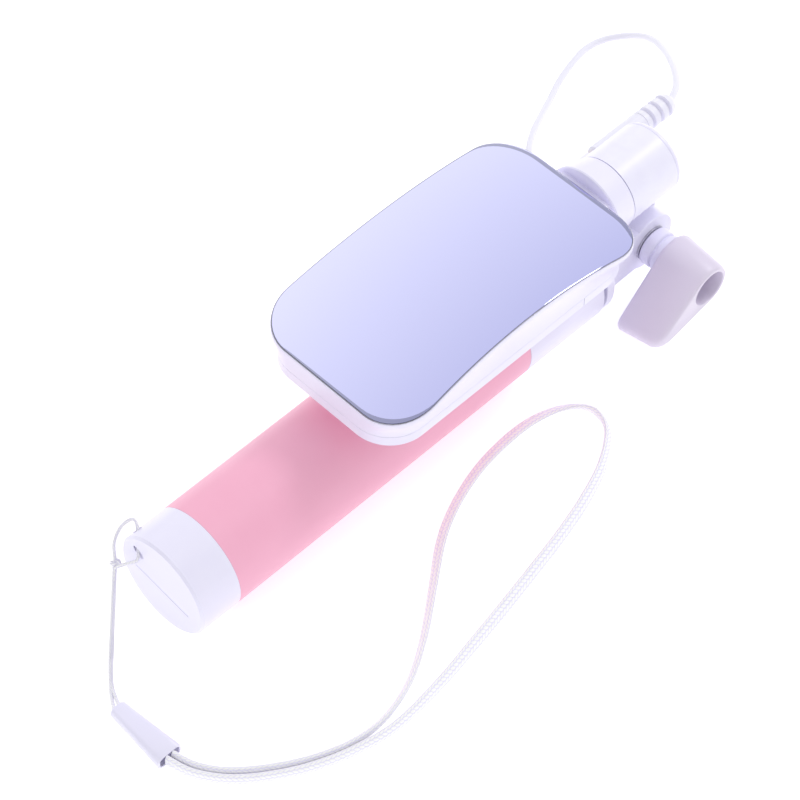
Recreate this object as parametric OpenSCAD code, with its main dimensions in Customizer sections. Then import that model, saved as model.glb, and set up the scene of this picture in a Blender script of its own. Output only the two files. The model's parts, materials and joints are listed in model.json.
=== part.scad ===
// Telescopic selfie stick: a fat two-tone grip, five sliding tubes, a tilting head and a
// spring-loaded phone clamp with a mirror on its back, folded flat along the grip.
// Frame: the origin is the centre of the tail cap's flat end face, +X runs along the stick
// towards the head, +Z points up through the mirror, and the stick lies on the plane z = -14.

/* [Handle] */
// Outer diameter of the grip, the tail cap and the collar
handle_d = 28; // [22:0.5:34]
// Length of the tail cap
cap_len = 12; // [8:1:20]
// Length of the soft grip sleeve
sleeve_len = 98; // [70:1:130]
// Length of the front collar
collar_len = 27; // [22:1:40]
// Wall of the sleeve and of the collar
skin_wall = 1.45; // [1:0.05:2.5]
// Wall of the inner core tube
core_wall = 1.5; // [1:0.1:2.5]

/* [Shutter] */
// Diameter of the shutter button
button_d = 7.9; // [6:0.1:10]
// Travel of the shutter button
button_travel = 0.6; // [0.3:0.1:1.2]
// Distance of the button from the tail face
button_x = 124; // [118:1:130]

/* [Telescope] */
// Outer diameter of the fixed tube
tube_d = 15; // [13:0.2:18]
// Step in outer diameter from one tube to the next
tube_step = 1.8; // [1.6:0.1:2.2]
// Wall of every tube
tube_wall = 0.5; // [0.3:0.1:0.8]
// Length of every tube
tube_len = 97; // [70:1:110]
// Travel of each sliding tube
tube_travel = 80; // [50:1:84]
// Radial clearance of every running fit
fit_gap = 0.05; // [0.02:0.01:0.1]

/* [Hinge] */
// Distance of the tilt hinge from the tail face
hinge_x = 159; // [154:1:170]
// Outside width of the fork
fork_w = 18; // [14:0.5:22]
// Gap between the fork's ears
fork_gap = 9; // [7:0.5:11]
// Radius of the ears
ear_r = 8.4; // [7:0.1:10]
// Diameter of the hinge screw
screw_d = 4; // [3:0.5:5]

/* [Head] */
// Radius of the swivel barrel
barrel_r = 9.85; // [8:0.05:12]
// Height of the swivel axis above the stick's axis
swivel_z = 19.4; // [18:0.1:24]
// Diameter of the swivel stud
stud_d = 6; // [4:0.5:8]

/* [Clamp] */
// Length of the mirror, along the stick
mirror_l = 87.1; // [70:0.1:100]
// Width of the mirror
mirror_w = 50.3; // [40:0.1:60]
// Corner radius of the mirror
mirror_corner = 12.1; // [6:0.1:18]
// How far the long sides curve inwards at their middle
mirror_waist = 1.31; // [0:0.01:3]
// Radius of the mirror's bend
mirror_bend = 137.7; // [120:0.1:200]
// Length of the clamp's base
base_l = 85.2; // [70:0.1:100]
// Width of the clamp's base
base_w = 44.2; // [36:0.1:54]
// Corner radius of the clamp's base
base_corner = 10.8; // [6:0.1:16]
// How far the sliding half pulls out
clamp_travel = 28; // [15:1:30]
// Length of the folding claws
claw_len = 15; // [10:0.5:18]

/* [Wrist strap and lead] */
// Diameter of the audio lead
lead_d = 1.9; // [1.5:0.1:2.5]
// Width of the flat wrist band
band_w = 3.8; // [3:0.1:8]
// Thickness of the wrist band
band_t = 1.6; // [1:0.1:2.5]
// Diameter of each strand of the wrist string
string_d = 0.9; // [0.6:0.1:1.5]

/* [Hidden] */
$fn = 96;
fine = 240;
eps = 0.01;

handle_r = handle_d / 2;
floor_z = -handle_r;
sleeve_x = cap_len;
collar_x = cap_len + sleeve_len;
front_x = collar_x + collar_len;
skin_in = handle_r - skin_wall;
core_r = skin_in - 0.05;
core_in = core_r - core_wall;
core_end = front_x - 3;

// Tube k is 1 for the fixed tube and 6 for the thinnest one.
function tube_r(k) = (tube_d - (k - 1) * tube_step) / 2;
function tube_in(k) = tube_r(k) - tube_wall;
tube_x = front_x - tube_len;
lip_len = 3;
bush_len = 6;

// The fork's disc closes the front of the folded stick.
disc_x0 = front_x + 1.2;
disc_x1 = front_x + 4.9;
disc_r = handle_r - 0.3;
stem_r = 7;
slot_x = hinge_x - 9;
tongue_w = fork_gap - 0.4;
screw_r = screw_d / 2;

// Barrel and swivel ring, both on the swivel axis.
barrel_x0 = hinge_x - 8.8;
barrel_x1 = hinge_x + 6.9;
barrel_wall = 3.3;
barrel_in = barrel_r - 2.25;
cap_x1 = barrel_x1 + 1.8;
ring_x0 = barrel_x0 - 7.9;
ring_x1 = barrel_x0 - 0.2;
ring_r0 = 11.6;
stud_r = stud_d / 2;

// Clamp levels, from the phone mat up to the mirror.
mat_z = 20.2;
plate_z = 21.2;
plate_top = 24.2;
shell_z = 24.3;
mirror_x = 95.66;
bend_z = -100.5;
mirror_t = 1.6;
tape_t = 0.8;
roof_t = 1.2;
shell_x = 94.63;
shell_wall = 1.6;
split_x = 118;
claw_z = 22.6;
claw_r = 1.3;
claw_tail_x = 62;
claw_head_x = 124;
prong_in = 15.2;
prong_out = 19;
slot_in = 14.8;
slot_out = 19.4;
claw_pin_r = 0.6;
rod_r = 0.8;
rod_y = 12;
rod_z = 25.9;
lug_x = 84;
block_x = 90;
block_t = 3;
rod_end = 131;
clamp_screw_x = 131;
clamp_screw_y = 6;
clamp_screw_end = 28;

// Wing knob, measured from the hinge axis.
knob_y0 = -15.5;
knob_y1 = -29;
knob_r = 7.2;
knob_pocket_r = 5.2;
knob_pocket_depth = 9;
paddle_r = 2.8;
paddle_tip = [-16.3, -10.9];

// Audio plug, parked in the dock beside the barrel.
plug_y = 12.1;
plug_z = 14.1;
plug_r = 3.15;
plug_x = 160;
plug_end = 188.5;
jack_r = 1.75;
jack_len = 14;
// The jack's three dark rings part its contacts.
jack_x = plug_x - jack_len;
jack_cuts = [jack_x + 3.4, jack_x + 6.4, jack_x + 9.4];
cut_w = 0.6;
dock_r = 2.6;
dock_x0 = 150.6;
dock_x1 = 158.5;

// The lanyard tunnel cuts across the rim of the tail cap.
tunnel_angle = 38;
tunnel_d = 2.2;
tunnel_r0 = 9.6;
tunnel_x1 = 3;

// Routes of the soft pieces: the lead's loop, then the strap from the cap to its far turn.
lead_path = [
    [146, 9.5, 0], [146, 13, 0], [147.2, 17.5, -0.4], [150.2, 23, -1], [155, 29, -1.4],
    [161, 35, -2.4], [168, 40, -5], [176, 44.5, -8.2], [184, 48.5, -10.8], [192, 52.3, -12.3],
    [199.5, 54.8, -13], [206.5, 56, -13], [212.3, 54.5, -12.4], [215.8, 50.3, -10.4],
    [216.3, 44.6, -6.6], [214, 38.5, -2.2], [210, 32, 2], [205.5, 26.4, 6], [200.5, 20.8, 9.6],
    [194.5, 15.2, 12.8], [188.5, 12.1, 14.1]];
knot_at = [-3.4, 12.2, 0];
loop_path = [
    [-3.9, 11.5, -0.2], [-2.7, 9, 2.6], [-1.2, 6.9, 4.7], [0.3, 7.9, 6.2], [2.7, 10.7, 8.35],
    [3.7, 12, 9.4], [3.9, 13.6, 9.4], [2.8, 15.1, 7.6], [1.2, 15.9, 5], [-1, 15.2, 2.6],
    [-2.9, 12.9, 0.6]];
string_left_path = [
    [-3.6, 12, 0], [-6, 9.9, -3], [-9, 7.2, -7], [-11.8, 4.7, -10.6],
    [-15.2, 1.3, -13.2], [-18.4, -1.9, -13.5], [-21.6, -6, -13.5], [-24.1, -11.4, -12.4]];
string_right_path = [
    [-3.8, 12.2, -0.4], [-7, 9.3, -3.8], [-10.2, 6.4, -7.8], [-13.2, 3.7, -11.4],
    [-16.6, 0.4, -13.4], [-19.8, -3.2, -13.5], [-23.2, -7.4, -13.5], [-25.7, -11.4, -12.4]];

// The band's route: places on the floor, with how far the band is turned up on its edge.
band_route = [
    [-24.1, -29.5, 90], [-22.3, -35.5, 90], [-18.2, -41.3, 88], [-11.8, -46.6, 85], [-3, -51.9, 82],
    [7, -55.6, 80], [17, -56.3, 75], [28, -53.4, 70], [39, -47.3, 65], [50.5, -39, 60],
    [62, -30.6, 50], [72, -25.6, 42], [83, -22.2, 35], [93, -20.8, 30], [102.5, -20.8, 30],
    [110.5, -22.9, 40], [115.4, -26.6, 60], [116.8, -31.2, 75], [114.2, -36.9, 70],
    [106, -42.6, 60], [95.5, -46.6, 55], [84, -49.6, 55], [72, -52, 55], [59, -54.4, 55],
    [46, -56.6, 60], [33, -58.6, 70], [18, -59.6, 80], [6.6, -57.6, 85], [-3.8, -53.8, 88],
    [-12.9, -48.4, 90], [-19.6, -42.7, 90], [-24.2, -36, 90], [-26, -29.5, 90]];
function band_lift(a) = norm([band_w / 2 * sin(a), band_t / 2 * cos(a)]) + 0.05;
band_path = [for (p = band_route) [p[0], p[1], floor_z + band_lift(p[2])]];
band_turn = [for (p = band_route) p[2]];

slider_x = -25;
slider_y0 = -11.4;
slider_y1 = -29.5;
slider_w0 = 4.4;
slider_w1 = 7.2;
slider_t = 4.2;

white = [0.93, 0.91, 0.96];
shade = [0.86, 0.84, 0.92];
pink = [0.96, 0.68, 0.72];
pale_pink = [0.97, 0.84, 0.88];
steel = [0.75, 0.76, 0.78];
dark = [0.25, 0.25, 0.28];
glass = [0.8, 0.82, 0.93];
green = [0.15, 0.45, 0.3];
gold = [0.85, 0.7, 0.4];

// Rods and tubes along X, and rods along Y.
module rod_x(x0, x1, r) {
    translate([x0, 0, 0]) rotate([0, 90, 0]) cylinder(h = x1 - x0, r = r);
}

module tube_along_x(x0, x1, r_out, r_in) {
    difference() {
        rod_x(x0, x1, r_out);
        rod_x(x0 - 1, x1 + 1, r_in);
    }
}

module rod_along_y(y0, y1, r) {
    translate([0, y1, 0]) rotate([90, 0, 0]) cylinder(h = y1 - y0, r = r);
}

// A turned shape about X, from points [x, radius].
module turned(points) {
    rotate([0, 90, 0]) rotate_extrude() polygon([for (p = points) [p[1], p[0]]]);
}

// Rounded rectangle made of straight sides and true arcs.
module plate_outline(l, w, r) {
    square([l - 2 * r, w], center = true);
    square([l, w - 2 * r], center = true);
    for (sx = [-1, 1], sy = [-1, 1])
        translate([sx * (l / 2 - r), sy * (w / 2 - r)]) circle(r = r);
}

// The same outline with its long sides curved inwards.
module waisted_outline(l, w, r) {
    waist_r = pow(l / 2, 2) / (2 * mirror_waist) + mirror_waist / 2;
    difference() {
        plate_outline(l, w, r);
        for (s = [-1, 1])
            translate([0, s * (w / 2 - mirror_waist + waist_r)]) circle(r = waist_r, $fn = 1440);
    }
}

// Everything under, or between, the bent surfaces that are drop below the mirror's face.
module under_bend(drop) {
    translate([mirror_x, 60, bend_z]) rotate([90, 0, 0])
        cylinder(h = 120, r = mirror_bend - drop, $fn = fine);
}

module bent_slab(drop_top, drop_bottom, inset, corner_inset) {
    intersection() {
        difference() {
            under_bend(drop_top);
            under_bend(drop_bottom);
        }
        translate([mirror_x, 0, 0]) linear_extrude(height = 60)
            waisted_outline(mirror_l - 2 * inset, mirror_w - 2 * inset, mirror_corner - corner_inset);
    }
}

// A cord: rings of 8 corners on a route. A flat one can be turned up on its edge.
function unit(v) = v / norm(v);
function heading(path, i) = unit(path[min(i + 1, len(path) - 1)] - path[max(i - 1, 0)]);
function side_of(t) = unit(cross(t, [0, 0, 1]));
function cord_ring(path, i, half_w, half_t, turn) =
    let (t = heading(path, i), s = side_of(t), u = cross(s, t))
    let (wide = cos(turn) * s + sin(turn) * u, thin = cos(turn) * u - sin(turn) * s)
    [for (k = [0 : 7]) path[i] + half_w * cos(45 * k) * wide + half_t * sin(45 * k) * thin];

module swept(path, half_w, half_t, turns) {
    n = len(path);
    points = [for (i = [0 : n - 1]) each cord_ring(path, i, half_w, half_t, turns[i])];
    walls = [for (i = [0 : n - 2], k = [0 : 7])
        [8 * i + k, 8 * i + 8 + k, 8 * i + 8 + (k + 1) % 8, 8 * i + (k + 1) % 8]];
    start = [[for (k = [0 : 7]) k]];
    end = [[for (k = [7 : -1 : 0]) 8 * (n - 1) + k]];
    polyhedron(points = points, faces = concat(walls, start, end), convexity = 10);
}

module round_cord(path, d) {
    color(white) swept(path, d / 2, d / 2, [for (p = path) 0]);
}

module tail_cap() {
    color(white) difference() {
        union() {
            turned([[0, 0], [0, handle_r - 0.6], [0.6, handle_r], [cap_len, handle_r], [cap_len, 0]]);
            rod_x(cap_len - eps, cap_len + 8, core_in - 0.05);
        }
        rod_x(cap_len + 2, cap_len + 9, core_in - 1.6);
        lanyard_tunnel();
        translate([-1, 0, -1.8]) rotate([9, 0, 0]) cube([2.6, 18, 0.3], center = true);
    }
}

module lanyard_tunnel() {
    run = atan2(handle_r - tunnel_r0, tunnel_x1);
    rotate([tunnel_angle, 0, 0]) translate([0, tunnel_r0, 0]) rotate([0, 0, run])
        rod_x(-4, 12, tunnel_d / 2);
}

module grip_sleeve() {
    color(pink) tube_along_x(sleeve_x, collar_x, handle_r, skin_in);
}

module handle_core() {
    color(shade) difference() {
        tube_along_x(cap_len, core_end, core_r, core_in);
        translate([button_x, 0, 0]) cylinder(h = 20, r = button_d / 2 + 1.05);
    }
}

module collar() {
    bore_r = tube_r(1) + 0.03;
    color(white) difference() {
        turned([
            [collar_x, skin_in], [collar_x, handle_r], [front_x - 0.5, handle_r],
            [front_x, handle_r - 0.5], [front_x, bore_r], [core_end, bore_r],
            [core_end, skin_in]]);
        translate([button_x, 0, 0]) cylinder(h = 20, r = button_d / 2 + 0.15);
    }
}

module shutter_button() {
    color(white) translate([button_x, 0, 0]) {
        translate([0, 0, 10.85]) cylinder(h = 0.65, r = button_d / 2 + 0.65);
        translate([0, 0, 11.4]) cylinder(h = 3.4, r = button_d / 2);
        translate([0, 0, 14.8]) cylinder(h = 0.3, r1 = button_d / 2, r2 = button_d / 2 - 0.3);
    }
}

module dome_switch() {
    color(steel) translate([button_x, 0, 9.6]) cylinder(h = 0.6, r1 = 2.8, r2 = 1.8);
}

module switch_board() {
    color(green) translate([button_x - 10, -4.5, 8.4]) cube([20, 9, 1.2]);
}

module lead_coil() {
    color(white) translate([22, 0, 0]) rotate([0, 90, 0]) rotate_extrude()
        for (i = [0 : 7]) translate([8.4, i * 1.5]) circle(r = lead_d / 2, $fn = 24);
}

// One tube of the telescope: the front lip closes in on the next tube.
module stick_tube(k) {
    x0 = tube_x;
    x1 = front_x + 0.2 * (k - 1);
    lip_r = k < 6 ? tube_r(k + 1) + fit_gap : tube_in(k);
    color(steel) turned([
        [x0, tube_in(k)], [x0, tube_r(k)], [x1 - 0.2, tube_r(k)], [x1, tube_r(k) - 0.2],
        [x1, lip_r], [x1 - lip_len, lip_r], [x1 - lip_len, tube_in(k)]]);
}

module tube_1() { stick_tube(1); }
module tube_2() { stick_tube(2); }
module tube_3() { stick_tube(3); }
module tube_4() { stick_tube(4); }
module tube_5() { stick_tube(5); }

// The thinnest tube runs on into the fork.
module tube_6() {
    color(steel) tube_along_x(tube_x, disc_x1 + 3, tube_r(6), tube_in(6));
}

// A rear bush fills the gap between a tube and the one around it.
module rear_bush(k) {
    color(dark) tube_along_x(tube_x, tube_x + bush_len, tube_in(k - 1) - fit_gap, tube_r(k));
}

module bush_2() { rear_bush(2); }
module bush_3() { rear_bush(3); }
module bush_4() { rear_bush(4); }
module bush_5() { rear_bush(5); }
module bush_6() { rear_bush(6); }

module fork() {
    color(white) difference() {
        union() {
            turned([
                [disc_x0, 0], [disc_x0, disc_r], [disc_x1 - 1.5, disc_r],
                [disc_x1 - 0.4, disc_r - 0.7], [disc_x1, disc_r - 1.8], [disc_x1, 0]]);
            translate([disc_x1 - 1, -fork_w / 2, -stem_r])
                cube([hinge_x - disc_x1 + 1, fork_w, 2 * stem_r]);
            translate([hinge_x, 0, 0]) rod_along_y(-fork_w / 2, fork_w / 2, ear_r);
        }
        translate([slot_x, -fork_gap / 2, -20]) cube([40, fork_gap, 40]);
        translate([hinge_x, 0, 0]) rod_along_y(-20, 20, screw_r + 0.06);
        rod_x(disc_x0 - 1, disc_x1 + 3, tube_r(6));
        translate([hinge_x, 0, 0]) nut_shape(fork_w / 2 - 2.5, fork_w / 2 + 1, 4.1);
        translate([146, 0, 0]) rod_along_y(5, 20, 2);
    }
}

// Hexagonal prism along Y.
module nut_shape(y0, y1, r) {
    translate([0, y1, 0]) rotate([90, 0, 0]) linear_extrude(height = y1 - y0) circle(r = r, $fn = 6);
}

module cord_grommet() {
    color(white) translate([146, 0, 0]) {
        rod_along_y(5, fork_w / 2, 2);
        rod_along_y(fork_w / 2, fork_w / 2 + 0.5, 2.6);
    }
}

module hinge_nut() {
    color(steel) translate([hinge_x, 0, 0]) difference() {
        nut_shape(fork_w / 2 - 2.45, fork_w / 2 - 0.05, 4.05);
        rod_along_y(0, 20, screw_r + fit_gap);
    }
}

module hinge_screw() {
    color(steel) translate([hinge_x, 0, 0]) {
        rod_along_y(knob_y0 - 1, fork_w / 2 - 0.3, screw_r);
        nut_shape(knob_y0 - 3.5, knob_y0 - 1 + eps, 3.8);
    }
}

module hinge_washer() {
    color(steel) translate([hinge_x, 0, 0]) difference() {
        rod_along_y(-fork_w / 2 - 0.6, -fork_w / 2, 5);
        rod_along_y(-20, 0, screw_r + 0.08);
    }
}

// Outline of the knob: a round hub with one paddle.
module knob_outline() {
    circle(r = knob_r);
    translate(paddle_tip) circle(r = paddle_r);
    polygon([
        [-4.9, 4.9], [-18.2, -8.8],
        [-14.6, -13.1], [-1.5, -7]]);
}

module wing_knob() {
    color(shade) translate([hinge_x, 0, 0]) difference() {
        union() {
            rod_along_y(knob_y0, -fork_w / 2 - 0.65, 5.3);
            translate([0, knob_y0, 0]) rotate([90, 0, 0]) linear_extrude(height = knob_y0 - knob_y1)
                knob_outline();
        }
        rod_along_y(knob_y1 - 1, knob_y1 + knob_pocket_depth, knob_pocket_r);
        rod_along_y(-40, 0, screw_r);
        nut_shape(knob_y0 - 3.5, knob_y0 - 1, 3.8);
    }
}

module head_barrel() {
    color(white) difference() {
        union() {
            translate([0, 0, swivel_z]) rod_x(barrel_x0, barrel_x1, barrel_r);
            translate([hinge_x, 0, 0]) rod_along_y(-tongue_w / 2, tongue_w / 2, 7.8);
            translate([hinge_x - 6.5, -tongue_w / 2, 0]) cube([13, tongue_w, 11.6]);
            translate([0, plug_y, plug_z]) rod_x(dock_x0, dock_x1, dock_r);
            translate([dock_x0 + 0.4, 0, swivel_z]) rotate([-23.65, 0, 0]) translate([0, 8.4, -1.4])
                cube([dock_x1 - dock_x0 - 0.8, 3.5, 2.8]);
        }
        translate([hinge_x, 0, 0]) rod_along_y(-20, 20, screw_r + 0.06);
        translate([0, 0, swivel_z]) rod_x(barrel_x0 + barrel_wall, barrel_x1 + 1, barrel_in);
        translate([0, 0, swivel_z]) rod_x(barrel_x0 - 1, barrel_x1, stud_r + fit_gap);
        translate([0, plug_y, plug_z]) rod_x(dock_x0 - 1, dock_x1 + 1, jack_r + fit_gap);
    }
}

module barrel_cap() {
    color(white) translate([0, 0, swivel_z]) turned([
        [barrel_x1 - 2, 0], [barrel_x1 - 2, barrel_in - 0.03], [barrel_x1, barrel_in - 0.03],
        [barrel_x1, barrel_r], [cap_x1 - 1.1, barrel_r], [cap_x1 - 0.35, barrel_r - 0.35],
        [cap_x1, barrel_r - 1.1], [cap_x1, 0]]);
}

module swivel_stud() {
    color(steel) translate([0, 0, swivel_z]) {
        rod_x(ring_x0 + 1.6, barrel_x0 + 9, stud_r);
        rod_x(ring_x0, ring_x0 + 1.6 + eps, 5);
    }
}

module swivel_washer() {
    color(steel) translate([0, 0, swivel_z])
        tube_along_x(barrel_x0 + barrel_wall + 0.02, barrel_x0 + barrel_wall + 1.2, 5.5, stud_r + 0.1);
}

module swivel_nut() {
    x0 = barrel_x0 + barrel_wall + 1.25;
    color(steel) translate([x0, 0, swivel_z]) rotate([0, 90, 0]) difference() {
        linear_extrude(height = 3.2) circle(r = 5.4, $fn = 6);
        translate([0, 0, -1]) cylinder(h = 6, r = stud_r);
    }
}

module shell_body(outer, wall_inset, z0) {
    intersection() {
        under_bend(outer);
        translate([shell_x, 0, z0]) linear_extrude(height = 30)
            plate_outline(base_l - 2 * wall_inset, base_w - 2 * wall_inset, base_corner - wall_inset);
    }
}

module clamp_shell() {
    roof = mirror_t + tape_t;
    color(white) difference() {
        union() {
            difference() {
                union() {
                    shell_body(roof, 0, shell_z);
                    bent_slab(roof, roof + roof_t, 0.5, 0.5);
                }
                shell_body(roof + roof_t, shell_wall, 20);
            }
            intersection() {
                under_bend(roof + roof_t - 0.2);
                for (s = [-1, 1]) translate([clamp_screw_x, s * clamp_screw_y, shell_z])
                    cylinder(h = 10, r = 2.8);
            }
            translate([134, -8, shell_z]) cube([9, 16, 2.7]);
            translate([shell_x + base_l / 2 + 0.1, -8, plate_z]) cube([5.5, 16, 4]);
            translate([0, 0, swivel_z])
                turned([[ring_x0, 0], [ring_x0, ring_r0], [ring_x1, barrel_r + 0.05], [ring_x1, 0]]);
        }
        translate([0, 0, swivel_z]) rod_x(ring_x0 - 1, ring_x1 + 1, stud_r);
        translate([0, 0, swivel_z]) rod_x(ring_x0 - 1, ring_x0 + 1.6, 5);
        for (s = [-1, 1]) translate([clamp_screw_x, s * clamp_screw_y, shell_z - 1])
            cylinder(h = clamp_screw_end + 0.3 - shell_z + 1, r = 1);
    }
}

module mirror_plate() { color(glass) bent_slab(0, mirror_t, 0.4, 0.4); }

module mirror_trim() {
    color(dark) difference() {
        bent_slab(0.12, mirror_t, 0, 0);
        translate([mirror_x, 0, 0]) linear_extrude(height = 60)
            waisted_outline(mirror_l - 0.8, mirror_w - 0.8, mirror_corner - 0.4);
    }
}

module mirror_tape() { color(shade) bent_slab(mirror_t, mirror_t + tape_t, 3, 3); }

// The base's outline, inset by a margin, between two levels and two places along X.
module base_slice(x0, x1, z0, z1, margin) {
    intersection() {
        translate([shell_x, 0, z0]) linear_extrude(height = z1 - z0)
            plate_outline(base_l - 2 * margin, base_w - 2 * margin, base_corner - margin);
        translate([x0, -40, z0 - 1]) cube([x1 - x0, 80, z1 - z0 + 2]);
    }
}

// Room for a stowed claw whose pin is at x: a cross slot and two long ones towards the middle.
module claw_room(x, way) {
    translate([x - claw_r - 0.3, -slot_out, 15]) cube([2 * claw_r + 0.6, 2 * slot_out, 15]);
    for (s = [-1, 1])
        translate([way > 0 ? x : x - claw_len - 0.6, s > 0 ? slot_in : -slot_out, 15])
            cube([claw_len + 0.6, slot_out - slot_in, 15]);
}

module slider_cuts() {
    claw_room(claw_tail_x, 1);
    for (s = [-1, 1])
        translate([claw_head_x - claw_len - 0.6, s > 0 ? slot_in : -slot_out, 15])
            cube([20, slot_out - slot_in, 15]);
}

module fixed_cuts() {
    translate([split_x, -slot_out, 15]) cube([claw_head_x + claw_r + 0.3 - split_x, 2 * slot_out, 15]);
}

module base_slider() {
    color(white) difference() {
        union() {
            base_slice(0, split_x, plate_z, plate_top, 0);
            translate([lug_x, -15, plate_top - eps]) cube([4, 30, 3.2]);
        }
        slider_cuts();
        for (s = [-1, 1]) translate([0, s * rod_y, rod_z]) rod_x(lug_x - 1, lug_x + 5, rod_r);
        translate([claw_tail_x, 0, claw_z]) rod_along_y(-21.5, 21.5, claw_pin_r);
    }
}

module base_fixed() {
    color(white) difference() {
        base_slice(split_x + 0.2, 140, plate_z, plate_top, 0);
        fixed_cuts();
        translate([claw_head_x, 0, claw_z]) rod_along_y(-21.5, 21.5, claw_pin_r);
        for (s = [-1, 1]) translate([clamp_screw_x, s * clamp_screw_y, 0]) {
            cylinder(h = 30, r = 1.05);
            cylinder(h = plate_z + 1.2, r = 2.05);
        }
    }
}

module mat_slider() {
    color(pale_pink) difference() {
        base_slice(0, split_x, mat_z, plate_z, 1.2);
        slider_cuts();
    }
}

module mat_fixed() {
    color(pale_pink) difference() {
        base_slice(split_x + 0.2, 140, mat_z, plate_z, 1.2);
        fixed_cuts();
    }
}

module bearing_block() {
    color(white) difference() {
        intersection() {
            under_bend(mirror_t + tape_t + roof_t + 0.02);
            translate([block_x, -18, shell_z + 0.05]) cube([block_t, 36, 20]);
        }
        for (s = [-1, 1]) translate([0, s * rod_y, rod_z])
            rod_x(block_x - 1, block_x + 5, rod_r + fit_gap);
    }
}

module guide_rods() {
    color(steel) for (s = [-1, 1]) translate([0, s * rod_y, rod_z]) {
        rod_x(lug_x, rod_end, rod_r);
        rod_x(rod_end - eps, rod_end + 1.5, 1.4);
    }
}

module return_springs() {
    color(steel) for (s = [-1, 1]) translate([0, s * rod_y, rod_z])
        tube_along_x(block_x + block_t, rod_end - 0.02, 1.4, rod_r + 0.15);
}

module clamp_screws() {
    color(steel) for (s = [-1, 1]) translate([clamp_screw_x, s * clamp_screw_y, 0]) {
        translate([0, 0, plate_z]) cylinder(h = 1.2, r = 2);
        translate([0, 0, plate_z + 1]) cylinder(h = clamp_screw_end - plate_z - 1, r = 1);
    }
}

// A claw lies along +X from its pin, with a prong at each side.
module claw() {
    difference() {
        union() {
            rod_along_y(-prong_out, prong_out, claw_r);
            for (s = [-1, 1]) translate([0, s * (prong_in + prong_out) / 2, 0]) {
                translate([0, -1.9, -claw_r]) cube([claw_len - 1.9, 3.8, claw_r + 0.8]);
                translate([claw_len - 1.9, 0, -claw_r]) cylinder(h = claw_r + 0.8, r = 1.9);
            }
        }
        rod_along_y(-30, 30, claw_pin_r + fit_gap);
    }
}

module claw_pads() {
    for (s = [-1, 1]) translate([2.5, s * (prong_in + prong_out) / 2 - 1.4, 0.8])
        cube([10.5, 2.8, 0.5]);
}

module tail_claw() { color(shade) translate([claw_tail_x, 0, claw_z]) claw(); }
module tail_claw_pads() { color(pale_pink) translate([claw_tail_x, 0, claw_z]) claw_pads(); }
module head_claw() { color(shade) translate([claw_head_x, 0, claw_z]) mirror([1, 0, 0]) claw(); }

module head_claw_pads() {
    color(pale_pink) translate([claw_head_x, 0, claw_z]) mirror([1, 0, 0]) claw_pads();
}

module claw_pin(x) {
    color(steel) translate([x, 0, claw_z]) rod_along_y(-21, 21, claw_pin_r);
}

module tail_claw_pin() { claw_pin(claw_tail_x); }
module head_claw_pin() { claw_pin(claw_head_x); }

module plug_body() {
    color(white) translate([0, plug_y, plug_z]) turned([
        [plug_x, 0], [plug_x, plug_r - 0.5], [plug_x + 0.5, plug_r], [177, plug_r], [177, 0]]);
}

// The strain relief has three grooves and a rounded end.
module plug_relief() {
    grooves = [for (g = [178.2, 181.4, 184.6]) each
        [[g, plug_r - 0.1], [g + 0.2, plug_r - 0.9], [g + 1.2, plug_r - 0.9], [g + 1.4, plug_r - 0.15]]];
    color(white) translate([0, plug_y, plug_z]) turned(concat(
        [[177, 0], [177, plug_r]], grooves,
        [[plug_end - 1, plug_r - 0.3], [plug_end - 0.3, plug_r - 0.9], [plug_end, plug_r - 1.7],
         [plug_end, 0]]));
}

module jack_tip() {
    color(gold) translate([0, plug_y, plug_z]) turned([
        [jack_x, 0], [jack_x + 0.2, 0.7], [jack_x + 1.4, jack_r], [jack_x + 2.2, jack_r - 0.3],
        [jack_x + 2.8, jack_r], [jack_cuts[0], jack_r], [jack_cuts[0], 0]]);
}

module jack_insulators() {
    color(dark) translate([0, plug_y, plug_z])
        for (x = jack_cuts) rod_x(x, x + cut_w, jack_r);
}

// The two ring contacts and the sleeve contact, behind the tip.
module jack_contacts() {
    color(gold) translate([0, plug_y, plug_z]) {
        for (x = [jack_cuts[0], jack_cuts[1]]) rod_x(x + cut_w, x + 3, jack_r);
        rod_x(jack_cuts[2] + cut_w, plug_x, jack_r);
    }
}

module audio_cord() { round_cord(lead_path, lead_d); }
module string_loop() { round_cord(loop_path, string_d); }
module string_left() { round_cord(string_left_path, string_d); }
module string_right() { round_cord(string_right_path, string_d); }
module wrist_band() { color(white) swept(band_path, band_w / 2, band_t / 2, band_turn); }
module string_knot() { color(white) translate(knot_at) sphere(r = 1.6); }

// The sliding lock that gathers the strap: a flat sleeve, wider where the band comes out.
module wrist_slider() {
    color(white) translate([slider_x, 0, floor_z]) linear_extrude(height = slider_t) polygon([
        [-slider_w0 / 2, slider_y0], [slider_w0 / 2, slider_y0],
        [slider_w1 / 2, slider_y1], [-slider_w1 / 2, slider_y1]]);
}

tail_cap();
grip_sleeve();
handle_core();
collar();
shutter_button();
dome_switch();
switch_board();
lead_coil();
tube_1();
tube_2();
tube_3();
tube_4();
tube_5();
tube_6();
bush_2();
bush_3();
bush_4();
bush_5();
bush_6();
fork();
cord_grommet();
hinge_nut();
hinge_screw();
hinge_washer();
wing_knob();
head_barrel();
barrel_cap();
swivel_stud();
swivel_washer();
swivel_nut();
clamp_shell();
mirror_plate();
mirror_trim();
mirror_tape();
base_fixed();
base_slider();
mat_fixed();
mat_slider();
bearing_block();
guide_rods();
return_springs();
clamp_screws();
tail_claw();
head_claw();
tail_claw_pin();
head_claw_pin();
tail_claw_pads();
head_claw_pads();
plug_body();
plug_relief();
jack_tip();
jack_contacts();
jack_insulators();
audio_cord();
string_loop();
string_knot();
string_left();
string_right();
wrist_slider();
wrist_band();
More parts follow.
